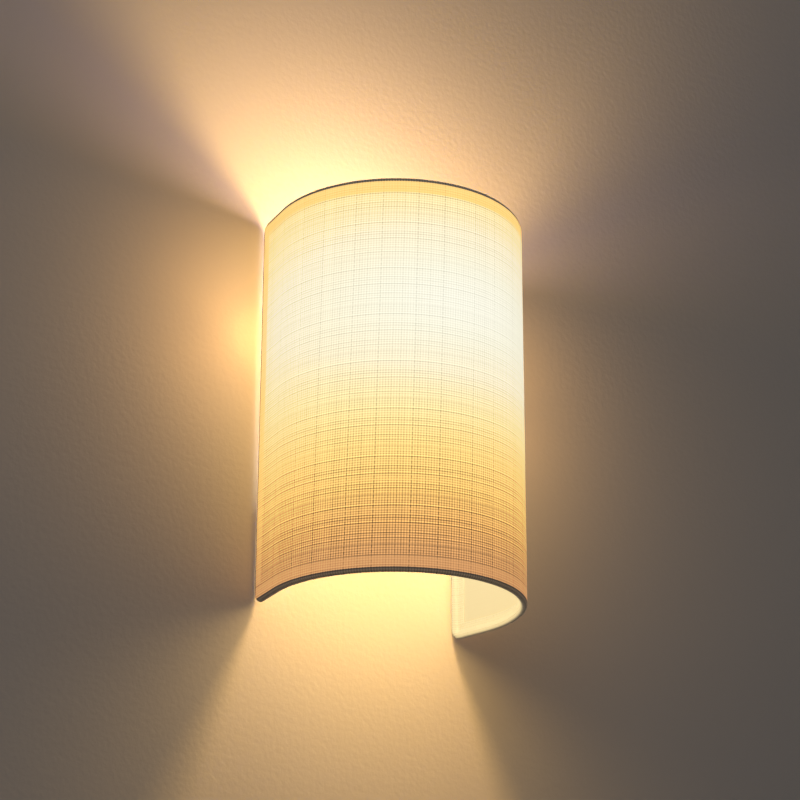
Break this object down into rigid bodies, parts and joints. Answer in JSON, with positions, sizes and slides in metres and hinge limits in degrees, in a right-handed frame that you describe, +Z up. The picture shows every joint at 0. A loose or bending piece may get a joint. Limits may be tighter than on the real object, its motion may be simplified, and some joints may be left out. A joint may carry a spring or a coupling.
{
  "type": "wall light",
  "caption": "Half-round woven fabric shade on a wire frame that hangs on a wall plate, over an upright screw-in lamp.",
  "frame": {"origin": "midway between the two wall slots of the mounting strap, on the wall face", "axes": "+Y into the wall, -Y out of the front of the shade, +Z up, +X to the right seen from the front"},
  "size_m": [0.16, 0.122, 0.25],
  "materials": {
    "shade_cloth": "plain linen-look weave with slubs",
    "shade_lining": "smooth white film",
    "hem_cloth": "same cloth, doubled",
    "white_wire": "white powder coat",
    "white_enamel": "white powder coat, fine texture",
    "zinc_steel": "bright zinc",
    "bright_nickel": "nickel plate",
    "brass": "drawn brass",
    "tinned_copper": "tinned",
    "terminal_plastic": "moulded, translucent white",
    "holder_plastic": "moulded white",
    "porcelain": "glazed ceramic",
    "brown_insulation": "silicone",
    "blue_insulation": "silicone",
    "earth_insulation": "green and yellow",
    "rubber_bush": "moulded rubber",
    "opal_globe": "opal, lit from inside",
    "lamp_plastic": "moulded white",
    "lamp_cap_metal": "rolled thread",
    "black_glass": "black glass",
    "board_aluminium": "white solder mask",
    "led_phosphor": "phosphor",
    "solder_tip": "solder"
  },
  "bodies": {
    "wall_base": {"mounting_strap": "zinc_steel", "strap_screws": "zinc_steel", "cap_nuts": "bright_nickel", "wall_plate": "white_enamel", "shade_hooks": "white_enamel", "holder_bracket": "white_enamel", "bracket_screws": "bright_nickel", "bracket_nuts": "zinc_steel", "cable_bush": "rubber_bush", "terminal_block": "terminal_plastic", "terminal_inserts": "brass", "terminal_screws": "zinc_steel", "block_screws": "zinc_steel", "earth_stud": "zinc_steel", "earth_tag": "tinned_copper", "earth_nut": "zinc_steel", "live_lead": "brown_insulation", "neutral_lead": "blue_insulation", "earth_lead": "earth_insulation", "threaded_nipple": "zinc_steel", "nipple_nut": "zinc_steel", "holder_cap": "holder_plastic", "holder_sleeve": "holder_plastic", "contact_block": "porcelain", "screw_shell": "brass", "centre_contact": "brass"},
    "shade": {"shade_fabric": "shade_cloth", "shade_liner": "shade_lining", "top_hem": "hem_cloth", "bottom_hem": "hem_cloth", "left_side_hem": "hem_cloth", "right_side_hem": "hem_cloth", "top_wire": "white_wire", "bottom_wire": "white_wire", "left_upright_wire": "white_wire", "right_upright_wire": "white_wire", "upper_cross_wire": "white_wire", "lower_cross_wire": "white_wire"},
    "lamp_foot": {"contact_pip": "solder_tip"},
    "lamp": {"bulb_globe": "opal_globe", "bulb_collar": "lamp_plastic", "bulb_cap": "lamp_cap_metal", "bulb_insulator": "black_glass", "led_board": "board_aluminium", "led_chips": "led_phosphor"}
  },
  "joints": [
    {"name": "shade_lift", "type": "slide", "parent": "wall_base", "child": "shade", "axis": [0, 0, 1], "range_m": [0, 0.012]},
    {"name": "lamp_rise", "type": "slide", "parent": "wall_base", "child": "lamp_foot", "axis": [0, 0, 1], "range_m": [0, 0.0202]},
    {"name": "lamp_turn", "type": "hinge", "parent": "lamp_foot", "child": "lamp", "pos_m": [0, -0.06, 0], "axis": [0, 0, 1], "range_deg": [0, 1980]}
  ],
  "couplings": [
    {"joint": "lamp_rise", "follows": "lamp_turn", "m_per_rad": 0.00057757}
  ]
}
